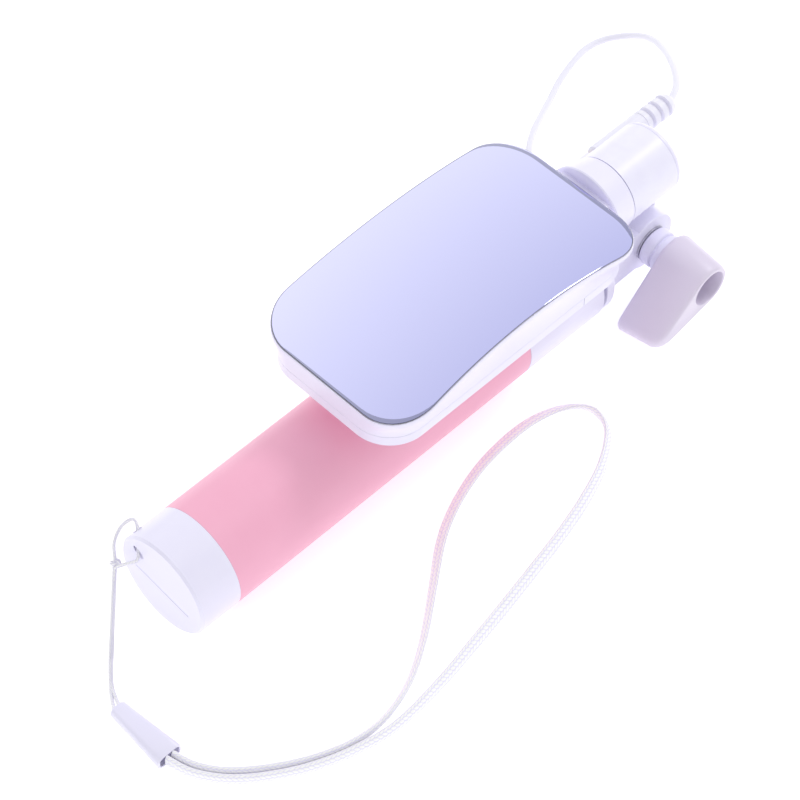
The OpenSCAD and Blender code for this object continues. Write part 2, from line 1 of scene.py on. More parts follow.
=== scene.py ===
"""Looks of a folding selfie stick: a fat two-tone grip, a mirror-backed clamp, a lead and a strap."""

import json
import math

import bmesh
import bpy
from mathutils import Matrix, Vector

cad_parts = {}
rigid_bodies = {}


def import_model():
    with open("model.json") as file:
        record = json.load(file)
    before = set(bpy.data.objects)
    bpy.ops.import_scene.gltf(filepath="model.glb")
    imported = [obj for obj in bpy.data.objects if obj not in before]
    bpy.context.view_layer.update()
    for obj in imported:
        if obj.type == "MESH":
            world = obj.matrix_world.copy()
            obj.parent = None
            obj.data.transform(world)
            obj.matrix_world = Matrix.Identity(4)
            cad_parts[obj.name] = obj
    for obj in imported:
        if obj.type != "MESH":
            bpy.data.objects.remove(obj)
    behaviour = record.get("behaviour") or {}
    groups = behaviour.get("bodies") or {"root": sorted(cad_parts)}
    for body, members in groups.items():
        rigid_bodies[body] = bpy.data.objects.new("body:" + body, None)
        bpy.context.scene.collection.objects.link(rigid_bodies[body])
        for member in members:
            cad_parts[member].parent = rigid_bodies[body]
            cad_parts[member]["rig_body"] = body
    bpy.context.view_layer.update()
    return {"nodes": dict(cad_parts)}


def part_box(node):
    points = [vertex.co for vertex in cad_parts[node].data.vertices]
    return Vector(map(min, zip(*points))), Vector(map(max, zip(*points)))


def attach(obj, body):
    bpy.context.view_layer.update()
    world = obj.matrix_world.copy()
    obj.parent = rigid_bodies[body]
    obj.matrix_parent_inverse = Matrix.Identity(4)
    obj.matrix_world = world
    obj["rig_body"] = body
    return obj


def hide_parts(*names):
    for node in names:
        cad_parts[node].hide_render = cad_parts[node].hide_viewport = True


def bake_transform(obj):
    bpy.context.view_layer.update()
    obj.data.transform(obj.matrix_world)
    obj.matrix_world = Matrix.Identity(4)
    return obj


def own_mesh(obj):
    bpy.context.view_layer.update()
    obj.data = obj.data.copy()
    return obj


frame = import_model()

MM = 0.001
nodes = frame["nodes"]
FLOOR_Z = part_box("grip_sleeve")[0].z


def mm(x, y, z):
    """A place given in millimetres, as a vector in metres."""
    return Vector((x, y, z)) * MM


# ---------------------------------------------------------------- camera

VIEW_TARGET = mm(78.27, 0, -0.5)
VIEW_DISTANCE = 733.95 * MM
VIEW_AZIMUTH = math.radians(-46.58)
VIEW_ELEVATION = math.radians(52.88)
VIEW_ROLL = math.radians(1.89)
VIEW_LENS = 135.7


def make_camera():
    """A long lens, looking down at the tail and the knob's side."""
    back = Vector((
        math.sin(VIEW_AZIMUTH) * math.cos(VIEW_ELEVATION),
        -math.cos(VIEW_AZIMUTH) * math.cos(VIEW_ELEVATION),
        math.sin(VIEW_ELEVATION)))
    level = Vector((math.cos(VIEW_AZIMUTH), math.sin(VIEW_AZIMUTH), 0))
    right = Matrix.Rotation(VIEW_ROLL, 3, back) @ level
    up = back.cross(right)
    data = bpy.data.cameras.new("camera")
    data.lens = VIEW_LENS
    data.sensor_width = 36
    data.clip_start = 0.01
    data.clip_end = 20
    camera = bpy.data.objects.new("camera", data)
    bpy.context.scene.collection.objects.link(camera)
    place = Matrix((right, up, back)).transposed().to_4x4()
    place.translation = VIEW_TARGET + back * VIEW_DISTANCE
    camera.matrix_world = place
    bpy.context.scene.camera = camera


make_camera()


# ---------------------------------------------------------------- material groups

def new_group(name, inputs, outputs):
    """An empty shader group with named float and colour sockets."""
    group = bpy.data.node_groups.new(name, "ShaderNodeTree")
    for label, kind, value in inputs:
        socket = group.interface.new_socket(label, in_out="INPUT", socket_type=kind)
        socket.default_value = value
    for label, kind in outputs:
        group.interface.new_socket(label, in_out="OUTPUT", socket_type=kind)
    start = group.nodes.new("NodeGroupInput")
    end = group.nodes.new("NodeGroupOutput")
    return group, start.outputs, end.inputs


FLOAT = "NodeSocketFloat"
COLOUR = "NodeSocketColor"


def calculate(tree, operation, a, b=None, c=None, clamp=False):
    """One Math node; each of a, b and c is a number or a socket."""
    node = tree.nodes.new("ShaderNodeMath")
    node.operation = operation
    node.use_clamp = clamp
    for i, value in enumerate((a, b, c)):
        if value is None:
            continue
        if isinstance(value, (int, float)):
            node.inputs[i].default_value = value
        else:
            tree.links.new(value, node.inputs[i])
    return node.outputs[0]


def blend_colours(tree, factor, a, b):
    """One colour Mix node between the sockets or colours a and b."""
    node = tree.nodes.new("ShaderNodeMix")
    node.data_type = "RGBA"
    for i, value in ((0, factor), (6, a), (7, b)):
        if hasattr(value, "is_output"):
            tree.links.new(value, node.inputs[i])
        else:
            node.inputs[i].default_value = value
    return node.outputs[2]


def noise(tree, scale, detail=3.0, rough=0.5, vector=None):
    """Noise on object coordinates, in features per metre."""
    node = tree.nodes.new("ShaderNodeTexNoise")
    node.inputs["Detail"].default_value = detail
    node.inputs["Roughness"].default_value = rough
    if vector is None:
        vector = tree.nodes.new("ShaderNodeTexCoord").outputs["Object"]
    tree.links.new(vector, node.inputs["Vector"])
    if isinstance(scale, (int, float)):
        node.inputs["Scale"].default_value = scale
    else:
        tree.links.new(scale, node.inputs["Scale"])
    return node.outputs["Fac"]


def make_moulded_group():
    """Moulded plastic: cloudy tone, finer gloss change, lighter sharp edges (partly wear, partly a painted
    edge highlight) and a fine grain.
    """
    group, given, result = new_group(
        "moulded surface",
        [("Colour", COLOUR, (1, 1, 1, 1)), ("Shade", COLOUR, (0.8, 0.8, 0.8, 1)),
         ("Edge light and wear", COLOUR, (1, 1, 1, 1)), ("Grain scale", FLOAT, 6000.0),
         ("Roughness", FLOAT, 0.35), ("Roughness change", FLOAT, 0.08)],
        [("Colour", COLOUR), ("Roughness", FLOAT), ("Height", FLOAT)])
    clouds = noise(group, 60.0, 4.0)
    smears = noise(group, 240.0, 5.0, 0.65)
    grain = noise(group, given["Grain scale"], 2.0)
    tone = calculate(group, "MULTIPLY_ADD", clouds, 1.6, -0.4, clamp=True)
    toned = blend_colours(group, tone, given["Shade"], given["Colour"])
    # Sharp convex edges take the lighter edge colour in patches: partly wear, partly a painted edge
    # highlight.
    pointed = group.nodes.new("ShaderNodeNewGeometry").outputs["Pointiness"]
    edge_light_and_wear = calculate(group, "MULTIPLY_ADD", pointed, 9.0, -4.75, clamp=True)
    edge_light_and_wear_patches = calculate(group, "MULTIPLY_ADD", smears, 1.4, -0.1, clamp=True)
    patchy = calculate(group, "MULTIPLY", edge_light_and_wear, edge_light_and_wear_patches)
    group.links.new(blend_colours(group, patchy, toned, given["Edge light and wear"]), result["Colour"])
    centred = calculate(group, "SUBTRACT", smears, 0.5)
    swing = calculate(group, "MULTIPLY", centred, given["Roughness change"])
    rough = calculate(group, "MULTIPLY_ADD", swing, 2.0, given["Roughness"], clamp=True)
    group.links.new(rough, result["Roughness"])
    height = calculate(group, "MULTIPLY_ADD", grain, 0.7, calculate(group, "MULTIPLY", smears, 0.3))
    group.links.new(height, result["Height"])
    return group


def make_braid_group():
    """A flat braid on the piece's own map: U is the length in stitches, V runs across the band."""
    group, given, result = new_group(
        "braid",
        [("Thread", COLOUR, (1, 1, 1, 1)), ("Gap", COLOUR, (0.5, 0.5, 0.5, 1)),
         ("Rows", FLOAT, 8.0), ("Slant", FLOAT, 0.5)],
        [("Colour", COLOUR), ("Roughness", FLOAT), ("Height", FLOAT)])
    place = group.nodes.new("ShaderNodeUVMap")
    split = group.nodes.new("ShaderNodeSeparateXYZ")
    group.links.new(place.outputs["UV"], split.inputs[0])
    along, across = split.outputs[0], split.outputs[1]
    row = calculate(group, "MULTIPLY", across, given["Rows"])
    row_number = calculate(group, "FLOOR", row)
    in_row = calculate(group, "SUBTRACT", calculate(group, "FRACT", row), 0.5)
    odd_row = calculate(group, "MODULO", row_number, 2.0)
    side = calculate(group, "SUBTRACT", calculate(group, "MULTIPLY", odd_row, 2.0), 1.0)
    slant = calculate(group, "MULTIPLY", calculate(group, "MULTIPLY", in_row, side), given["Slant"])
    half_steps = calculate(group, "MULTIPLY", row_number, 0.5)
    shifted = calculate(group, "ADD", along, calculate(group, "ADD", slant, half_steps))
    in_stitch = calculate(group, "SUBTRACT", calculate(group, "FRACT", shifted), 0.5)
    far_along = calculate(group, "MULTIPLY", calculate(group, "ABSOLUTE", in_stitch), 2.1)
    far_across = calculate(group, "MULTIPLY", calculate(group, "ABSOLUTE", in_row), 2.15)
    fall_along = calculate(group, "POWER", far_along, 2.4)
    fall_across = calculate(group, "POWER", far_across, 2.0)
    hump = calculate(group, "SUBTRACT", 1.0, calculate(group, "ADD", fall_along, fall_across), clamp=True)
    rounded = calculate(group, "POWER", hump, 0.5)
    fibres = noise(group, 9000.0, 2.0)
    mask = calculate(group, "MULTIPLY_ADD", rounded, 1.9, -0.15, clamp=True)
    fibre_tone = calculate(group, "MULTIPLY_ADD", fibres, 0.5, 0.75, clamp=True)
    fluffy = calculate(group, "MULTIPLY", mask, fibre_tone)
    # Between the stitches the colour falls to the darker colour of the gaps: painted shade in the braid's
    # recesses.
    group.links.new(blend_colours(group, fluffy, given["Gap"], given["Thread"]), result["Colour"])
    group.links.new(calculate(group, "MULTIPLY_ADD", fibres, 0.2, 0.62), result["Roughness"])
    group.links.new(calculate(group, "MULTIPLY_ADD", fibres, 0.12, rounded), result["Height"])
    return group


def make_metal_group():
    """Drawn or plated metal: faint lengthwise lines and soft patches of different gloss."""
    group, given, result = new_group(
        "drawn metal",
        [("Colour", COLOUR, (0.7, 0.7, 0.7, 1)), ("Shade", COLOUR, (0.5, 0.5, 0.5, 1)),
         ("Roughness", FLOAT, 0.15)],
        [("Colour", COLOUR), ("Roughness", FLOAT), ("Height", FLOAT)])
    coords = group.nodes.new("ShaderNodeTexCoord").outputs["Object"]
    stretch = group.nodes.new("ShaderNodeMapping")
    stretch.inputs["Scale"].default_value = (0.02, 1.0, 1.0)
    group.links.new(coords, stretch.inputs["Vector"])
    lines = noise(group, 7000.0, 3.0, 0.6, stretch.outputs["Vector"])
    patches = noise(group, 130.0, 4.0)
    tone = calculate(group, "MULTIPLY_ADD", patches, 1.5, -0.35, clamp=True)
    group.links.new(blend_colours(group, tone, given["Shade"], given["Colour"]), result["Colour"])
    rough = calculate(group, "MULTIPLY_ADD", patches, 0.12, given["Roughness"])
    group.links.new(rough, result["Roughness"])
    group.links.new(lines, result["Height"])
    return group


MOULDED = make_moulded_group()
BRAID = make_braid_group()
METAL = make_metal_group()


def new_material(name, group, values, bump_strength, bump_distance, plain):
    """A material with one Principled shader, fed by one group; plain values sit on the shader."""
    material = bpy.data.materials.new(name)
    material.use_nodes = True
    tree = material.node_tree
    shader = tree.nodes["Principled BSDF"]
    for label, value in plain.items():
        shader.inputs[label].default_value = value
    effect = tree.nodes.new("ShaderNodeGroup")
    effect.node_tree = group
    for label, value in values.items():
        effect.inputs[label].default_value = value
    tree.links.new(effect.outputs["Colour"], shader.inputs["Base Color"])
    tree.links.new(effect.outputs["Roughness"], shader.inputs["Roughness"])
    bump = tree.nodes.new("ShaderNodeBump")
    bump.inputs["Strength"].default_value = bump_strength
    bump.inputs["Distance"].default_value = bump_distance * MM
    tree.links.new(effect.outputs["Height"], bump.inputs["Height"])
    tree.links.new(bump.outputs["Normal"], shader.inputs["Normal"])
    return material


def plastic(name, colour, shade, edge, roughness, change=0.08, grain=6000.0, bump=0.08, **plain):
    """A moulded plastic: its colour, the shade of its smears, the lighter colour of its sharp edges (wear
    and a painted edge highlight) and its grain.
    """
    values = {"Colour": (*colour, 1), "Shade": (*shade, 1), "Edge light and wear": (*edge, 1), "Roughness": roughness,
              "Roughness change": change, "Grain scale": grain}
    return new_material(name, MOULDED, values, bump, 0.05, {"IOR": 1.46, **plain})


def metal(name, colour, shade, roughness, bump=0.04, **plain):
    """A bare or plated metal, with patches in a second shade."""
    values = {"Colour": (*colour, 1), "Shade": (*shade, 1), "Roughness": roughness}
    return new_material(name, METAL, values, bump, 0.02, {"Metallic": 1.0, **plain})


def braid(name, thread, gap_shade, rows, slant, bump_distance):
    """Stitches in rows across the piece: the thread, the painted shade in the gaps between, and how far the
    stitches lean.
    """
    values = {"Thread": (*thread, 1), "Gap": (*gap_shade, 1), "Rows": rows, "Slant": slant}
    return new_material(name, BRAID, values, 1.0, bump_distance,
                        {"Sheen Weight": 0.4, "Sheen Roughness": 0.4, "Subsurface Weight": 0.0})


# Each plastic's third colour is its lighter edge colour: partly wear, partly a painted edge highlight.
WHITE = plastic("white moulding", (0.83, 0.81, 0.98), (0.81, 0.79, 0.965), (0.87, 0.86, 0.99), 0.3, 0.05)
# The knob's wing: the white moulding coloured darker, which is painted shade; its boss keeps the plain
# white.
KNOB_WHITE_PAINTED_SHADE = plastic("knob moulding, painted shade", (0.72, 0.66, 0.80), (0.7, 0.64, 0.785), (0.82, 0.78, 0.9), 0.34, 0.05)
GRIP_PINK = plastic("soft pink grip", (0.92, 0.45, 0.61), (0.9, 0.43, 0.59), (0.95, 0.55, 0.7),
                    0.42, 0.1, 9000.0, 0.14)
PAD_PINK = plastic("pale pink silicone", (0.9, 0.7, 0.78), (0.87, 0.66, 0.75), (0.95, 0.8, 0.86),
                   0.6, 0.1, 7000.0, 0.2)
BUSH_BLACK = plastic("dark bush", (0.05, 0.05, 0.055), (0.035, 0.035, 0.04), (0.12, 0.12, 0.13), 0.4)
TAPE_GREY = plastic("foam tape", (0.6, 0.6, 0.66), (0.5, 0.5, 0.56), (0.7, 0.7, 0.75),
                    0.8, 0.05, 4000.0, 0.5)
BOARD_GREEN = plastic("circuit board", (0.03, 0.2, 0.08), (0.02, 0.14, 0.06), (0.1, 0.3, 0.15), 0.35)
LEAD_WHITE = plastic("lead jacket", (0.84, 0.83, 0.93), (0.8, 0.79, 0.9), (0.92, 0.91, 0.98),
                     0.42, 0.08, 5000.0, 0.1)
JACK_BLACK = plastic("jack insulator", (0.02, 0.02, 0.022), (0.015, 0.015, 0.016), (0.06, 0.06, 0.06), 0.3)
TUBE_STEEL = metal("polished tube", (0.8, 0.8, 0.84), (0.72, 0.72, 0.77), 0.06)
PLATED_STEEL = metal("plated steel", (0.62, 0.62, 0.66), (0.54, 0.54, 0.58), 0.22, 0.1)
JACK_GOLD = metal("gold plating", (0.9, 0.66, 0.3), (0.84, 0.58, 0.24), 0.12)
RIM_CHROME = metal("dark chrome rim", (0.36, 0.36, 0.44), (0.28, 0.28, 0.36), 0.1)
# Each braid's second colour is painted shade in the gaps between its stitches.
STRING_WHITE = braid("twisted string", (0.97, 0.96, 1.0), (0.82, 0.8, 0.95), 3.0, 1.0, 0.12)
BAND_WHITE = braid("woven band", (1.0, 1.0, 1.0), (0.84, 0.82, 1.0), 9.0, 0.7, 0.07)


def make_mirror_material():
    """Silvered mirror: its colour is darker towards the knob's side, a painted reflection shading, and dust
    shows only in its gloss.
    """
    material = bpy.data.materials.new("bent mirror")
    material.use_nodes = True
    tree = material.node_tree
    shader = tree.nodes["Principled BSDF"]
    shader.inputs["Metallic"].default_value = 1.0
    split = tree.nodes.new("ShaderNodeSeparateXYZ")
    tree.links.new(tree.nodes.new("ShaderNodeTexCoord").outputs["Object"], split.inputs[0])
    low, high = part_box("mirror_plate")
    along = calculate(tree, "DIVIDE", calculate(tree, "SUBTRACT", split.outputs[0], low.x), high.x - low.x)
    across = calculate(tree, "DIVIDE", calculate(tree, "SUBTRACT", split.outputs[1], low.y), high.y - low.y)
    # Painted reflection shading: the mirror's colour falls to the darker one towards the knob's side and a
    # little towards the head.
    lean = calculate(tree, "MULTIPLY_ADD", across, 0.65, calculate(tree, "MULTIPLY", along, -0.1))
    factor = calculate(tree, "MULTIPLY_ADD", lean, 1.3, 0.1, clamp=True)
    painted_reflection_tint = blend_colours(tree, factor, (0.47, 0.48, 0.77, 1), (0.73, 0.735, 1.0, 1))
    tree.links.new(painted_reflection_tint, shader.inputs["Base Color"])
    dust = noise(tree, 900.0, 4.0)
    tree.links.new(calculate(tree, "MULTIPLY_ADD", dust, 0.03, 0.03), shader.inputs["Roughness"])
    return material


MIRROR = make_mirror_material()


# ---------------------------------------------------------------- making pieces

def finish_piece(name, bm, material, body=None, stands_for=(), sharp=35.0, fix_normals=True):
    """Turns a bmesh into an object at the origin, shades it and lets it ride on its body."""
    if fix_normals:
        bmesh.ops.recalc_face_normals(bm, faces=bm.faces)
    mesh = bpy.data.meshes.new(name)
    bm.to_mesh(mesh)
    bm.free()
    mesh.materials.append(material)
    mesh.shade_smooth()
    mesh.set_sharp_from_angle(angle=math.radians(sharp))
    piece = bpy.data.objects.new(name, mesh)
    bpy.context.scene.collection.objects.link(piece)
    if body:
        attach(piece, body)
    if stands_for:
        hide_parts(*stands_for)
    return piece


def round_edges(piece, width, segments=3, angle=35.0):
    """A bevel modifier on the sharp edges, width in millimetres."""
    bevel = piece.modifiers.new("rounded edges", "BEVEL")
    bevel.width = width * MM
    bevel.segments = segments
    bevel.limit_method = "ANGLE"
    bevel.angle_limit = math.radians(angle)
    bevel.harden_normals = True
    bevel.use_clamp_overlap = True
    return piece


def turned(profile, axis_y=0.0, axis_z=0.0, steps=128):
    """A bmesh turned about a line along X from [x, radius] points in millimetres."""
    bm = bmesh.new()
    points = [bm.verts.new(mm(x, axis_y, axis_z + r)) for x, r in profile]
    edges = [bm.edges.new(pair) for pair in zip(points, points[1:])]
    bmesh.ops.spin(bm, geom=points + edges, cent=mm(0, axis_y, axis_z), axis=(1, 0, 0),
                   angle=math.tau, steps=steps, use_merge=True)
    bmesh.ops.remove_doubles(bm, verts=bm.verts, dist=1e-7)
    return bm


def skin(rings, cap_start=True, cap_end=True):
    """A bmesh skinned over rings that all have the same number of points, in millimetres."""
    bm = bmesh.new()
    loops = [[bm.verts.new(mm(*p)) for p in ring] for ring in rings]
    for a, b in zip(loops, loops[1:]):
        for i in range(len(a)):
            j = (i + 1) % len(a)
            bm.faces.new((a[i], a[j], b[j], b[i]))
    if cap_start:
        bm.faces.new(loops[0])
    if cap_end:
        bm.faces.new(loops[-1])
    return bm


def softened(node, material, width, segments=2, angle=35.0):
    """A copy of a CAD node with merged corners and rounded edges, standing for it."""
    bm = bmesh.new()
    bm.from_mesh(nodes[node].data)
    bmesh.ops.remove_doubles(bm, verts=bm.verts, dist=2e-6)
    bmesh.ops.dissolve_limit(bm, angle_limit=math.radians(0.4), verts=bm.verts, edges=bm.edges)
    body = nodes[node]["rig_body"]
    sharp = 35.0 if width else 12.0
    piece = finish_piece(node + "_soft", bm, material, body, [node], sharp,
                         fix_normals=False)
    if width:
        round_edges(piece, width, segments, angle)
    return piece


def dress(material, *names):
    """Gives CAD nodes their finished material."""
    for name in names:
        mesh = nodes[name].data
        mesh.materials.clear()
        mesh.materials.append(material)


# ---------------------------------------------------------------- cords and the strap

def smooth_path(points, per=6):
    """Catmull-Rom points through the route's points; works on numbers of any count."""
    result = []
    last = len(points) - 1
    for i in range(last):
        p0, p1, p2, p3 = (Vector(points[max(0, min(last, i + k))]) for k in (-1, 0, 1, 2))
        for step in range(per):
            t = step / per
            result.append(0.5 * (2 * p1 + (p2 - p0) * t + (2 * p0 - 5 * p1 + 4 * p2 - p3) * t * t
                                 + (3 * p1 - p0 - 3 * p2 + p3) * t ** 3))
    result.append(Vector(points[last]))
    return result


def swept(points, half_width, half_thickness, turns=None, sides=16, stitch=1.0, closed=False):
    """A bmesh cord along points in millimetres, mapped in stitches along U and once round in V."""
    bm = bmesh.new()
    uv = bm.loops.layers.uv.new("UVMap")
    count = len(points)
    rings, lengths, run = [], [], 0.0
    for i, p in enumerate(points):
        if i:
            run += (p - points[i - 1]).length
        lengths.append(run / stitch)
        if closed:
            heading = (points[(i + 1) % count] - points[i - 1]).normalized()
        else:
            heading = (points[min(i + 1, count - 1)] - points[max(i - 1, 0)]).normalized()
        side = heading.cross(Vector((0, 0, 1))).normalized()
        over = side.cross(heading)
        turn = math.radians(turns[i]) if turns else 0.0
        wide = math.cos(turn) * side + math.sin(turn) * over
        thin = math.cos(turn) * over - math.sin(turn) * side
        ring = []
        for k in range(sides):
            a = math.tau * k / sides
            ring.append(bm.verts.new((p + half_width * math.cos(a) * wide
                                      + half_thickness * math.sin(a) * thin) * MM))
        rings.append(ring)
    lengths.append(run / stitch + (points[0] - points[-1]).length / stitch)
    for i in range(count if closed else count - 1):
        a, b = rings[i], rings[(i + 1) % count]
        for k in range(sides):
            j = (k + 1) % sides
            face = bm.faces.new((a[k], a[j], b[j], b[k]))
            for loop, u, v in zip(face.loops, (lengths[i], lengths[i], lengths[i + 1], lengths[i + 1]),
                                  (k, k + 1, k + 1, k)):
                loop[uv].uv = (u, v / sides)
    if not closed:
        bm.faces.new(rings[0])
        bm.faces.new(rings[-1])
    return bm


LEAD_D = 1.9
LEAD_ROUTE = [
    (146, 9.5, 0), (146, 13, 0), (147.2, 17.5, -0.4), (150.2, 23, -1), (155, 29, -1.4),
    (161, 35, -2.4), (168, 40, -5), (176, 44.5, -8.2), (184, 48.5, -10.8), (192, 52.3, -12.3),
    (199.5, 54.8, -13), (206.5, 56, -13), (212.3, 54.5, -12.4), (215.8, 50.3, -10.4),
    (216.3, 44.6, -6.6), (214, 38.5, -2.2), (210, 32, 2), (205.5, 26.4, 6), (200.5, 20.8, 9.6),
    (194.5, 15.2, 12.8), (188.5, 12.1, 14.1)]
STRING_D = 0.9
KNOT = Vector((-3.4, 12.2, 0))
KNOT_REACH = 0.62
KNOT_LOBE = 0.34
KNOT_SPREAD = 1.1
KNOT_RISE = 0.5
LOOP_ROUTE = [
    (-3.9, 11.5, -0.2), (-2.7, 9, 2.6), (-1.2, 6.9, 4.7), (0.3, 7.9, 6.2), (2.7, 10.7, 8.35),
    (3.7, 12, 9.4), (3.9, 13.6, 9.4), (2.8, 15.1, 7.6), (1.2, 15.9, 5), (-1, 15.2, 2.6),
    (-2.9, 12.9, 0.6)]
STRING_LEFT_ROUTE = [
    (-3.6, 12, 0), (-6, 9.9, -3), (-9, 7.2, -7), (-11.8, 4.7, -10.6),
    (-15.2, 1.3, -13.2), (-18.4, -1.9, -13.5), (-21.6, -6, -13.5), (-24.1, -11.4, -12.4)]
STRING_RIGHT_ROUTE = [
    (-3.8, 12.2, -0.4), (-7, 9.3, -3.8), (-10.2, 6.4, -7.8), (-13.2, 3.7, -11.4),
    (-16.6, 0.4, -13.4), (-19.8, -3.2, -13.5), (-23.2, -7.4, -13.5), (-25.7, -11.4, -12.4)]
BAND_W = 3.8
BAND_T = 1.6
BAND_ROUTE = [
    (-24.1, -29.5, 90), (-22.3, -35.5, 90), (-18.2, -41.3, 88), (-11.8, -46.6, 85), (-3, -51.9, 82),
    (7, -55.6, 80), (17, -56.3, 75), (28, -53.4, 70), (39, -47.3, 65), (50.5, -39, 60),
    (62, -30.6, 50), (72, -25.6, 42), (83, -22.2, 35), (93, -20.8, 30), (102.5, -20.8, 30),
    (110.5, -22.9, 40), (115.4, -26.6, 60), (116.8, -31.2, 75), (114.2, -36.9, 70),
    (106, -42.6, 60), (95.5, -46.6, 55), (84, -49.6, 55), (72, -52, 55), (59, -54.4, 55),
    (46, -56.6, 60), (33, -58.6, 70), (18, -59.6, 80), (6.6, -57.6, 85), (-3.8, -53.8, 88),
    (-12.9, -48.4, 90), (-19.6, -42.7, 90), (-24.2, -36, 90), (-26, -29.5, 90)]


def make_lead():
    """The audio lead: out of the fork's side, down to the floor and up to the parked plug."""
    path = smooth_path(LEAD_ROUTE, 7)
    bm = swept(path, LEAD_D / 2, LEAD_D / 2, sides=20)
    lead = finish_piece("lead_loop", bm, LEAD_WHITE, None, ["audio_cord"])
    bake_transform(lead)


def make_string(name, node, route):
    """One strand of the wrist string."""
    path = smooth_path(route, 6)
    bm = swept(path, STRING_D / 2, STRING_D / 2, sides=12, stitch=0.9)
    strand = finish_piece(name, bm, STRING_WHITE, "handle", [node])


def make_knot():
    """A tight overhand knot where the strands meet."""
    steps = 60
    points = []
    for i in range(steps):
        a = math.tau * i / steps
        reach = KNOT_REACH + KNOT_LOBE * math.cos(3 * a)
        points.append(KNOT + Vector((reach * math.cos(2 * a) * KNOT_SPREAD,
                                     reach * math.sin(2 * a) * KNOT_SPREAD,
                                     KNOT_RISE * math.sin(3 * a))))
    bm = swept(points, STRING_D / 2, STRING_D / 2, sides=12, stitch=0.9, closed=True)
    finish_piece("string_knot_tied", bm, STRING_WHITE, "handle", ["string_knot"])


def make_band():
    """The flat braided band, turned up on its edge where it leaves the sliding lock."""
    floor = FLOOR_Z / MM
    lifted = []
    for x, y, turn in BAND_ROUTE:
        a = math.radians(turn)
        lifted.append((x, y, floor + 0.05 + math.hypot(BAND_W / 2 * math.sin(a), BAND_T / 2 * math.cos(a))))
    path = smooth_path(lifted, 7)
    turns = [v.x for v in smooth_path([(p[2], 0, 0) for p in BAND_ROUTE], 7)]
    bm = swept(path, BAND_W / 2, BAND_T / 2, turns, sides=24, stitch=1.25)
    band = finish_piece("band_woven", bm, BAND_WHITE, "handle", ["wrist_band"])


# ---------------------------------------------------------------- the handle

def make_handle():
    """The grip with its cap, collar and button, what is inside it, and the six tubes."""
    softened("tail_cap", WHITE, 0.0)
    softened("grip_sleeve", GRIP_PINK, 0.2, 2)
    softened("collar", WHITE, 0.2, 3)
    softened("shutter_button", WHITE, 0.15, 2)
    dress(WHITE, "handle_core")
    dress(BOARD_GREEN, "switch_board")
    dress(PLATED_STEEL, "dome_switch")
    dress(LEAD_WHITE, "lead_coil")
    dress(TUBE_STEEL, *[f"tube_{k}" for k in range(1, 7)])
    dress(BUSH_BLACK, *[f"bush_{k}" for k in range(2, 7)])


def rounded_rectangle(width, height, radius, count=5):
    """Points of a rounded rectangle about its own centre."""
    points = []
    for quarter, (sx, sy) in enumerate(((1, 1), (-1, 1), (-1, -1), (1, -1))):
        for i in range(count + 1):
            a = math.pi / 2 * (quarter + i / count)
            points.append((sx * (width / 2 - radius) + radius * math.cos(a),
                           sy * (height / 2 - radius) + radius * math.sin(a)))
    return points


# The sliding lock's narrow end, as a share of its full width.
NARROW_SHARE = 0.61


def make_slider():
    """The sliding lock: a flat sleeve that widens towards a hollow mouth."""
    low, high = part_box("wrist_slider")
    centre_x = (low.x + high.x) / 2 / MM
    centre_z = (low.z + high.z) / 2 / MM
    y_narrow, y_mouth = high.y / MM, low.y / MM
    full_w = (high.x - low.x) / MM
    full_t = (high.z - low.z) / MM

    def ring(y, w, t, r):
        """A rounded rectangle at y, w wide and t thick."""
        return [(centre_x + px, y, centre_z + pz) for px, pz in rounded_rectangle(w, t, r)]

    narrow_w = full_w * NARROW_SHARE
    rings = [
        ring(y_narrow, narrow_w - 0.8, full_t * 0.62, 0.9),
        ring(y_narrow - 0.4, narrow_w, full_t * 0.74, 1.1),
        ring((y_narrow + y_mouth) / 2, (narrow_w + full_w) / 2, full_t * 0.92, 1.4),
        ring(y_mouth + 0.4, full_w, full_t, 1.5),
        ring(y_mouth, full_w - 0.5, full_t - 0.5, 1.4),
        ring(y_mouth + 0.1, full_w - 1.3, full_t - 1.1, 1.0),
        ring(y_mouth + 4, full_w - 1.6, full_t - 1.3, 0.9)]
    bm = skin(rings)
    finish_piece("slider_lock", bm, WHITE, "handle", ["wrist_slider"], sharp=50)


# ---------------------------------------------------------------- the head

HINGE_X = (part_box("hinge_nut")[0].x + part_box("hinge_nut")[1].x) / 2 / MM

# The knob's hub and paddle tip at their inner and outer ends: X and Z from the hinge, and the radius.
KNOB_INNER_Y = -15.5
HUB_IN = (0.0, 0.1, 7.1)
HUB_OUT = (0.6, -1.6, 6.4)
TIP_IN = (-16.3, -10.9, 2.85)
TIP_OUT = (-15.0, -9.9, 2.65)
POCKET_DEPTH = 9


def two_circle_outline(hub, hub_r, tip, tip_r, inset, count):
    """The outline of a band round two circles, as points in the X-Z plane from the hinge."""
    hub_r -= inset
    tip_r -= inset
    way = math.atan2(tip[1] - hub[1], tip[0] - hub[0])
    apart = math.hypot(tip[0] - hub[0], tip[1] - hub[1])
    lean = math.acos((hub_r - tip_r) / apart)
    points = []
    for centre, radius, start, end in (
            (hub, hub_r, way + lean, way + math.tau - lean), (tip, tip_r, way - lean, way + lean)):
        for i in range(count // 2):
            a = start + (end - start) * i / (count // 2 - 1)
            points.append((centre[0] + radius * math.cos(a), centre[1] + radius * math.sin(a)))
    return points


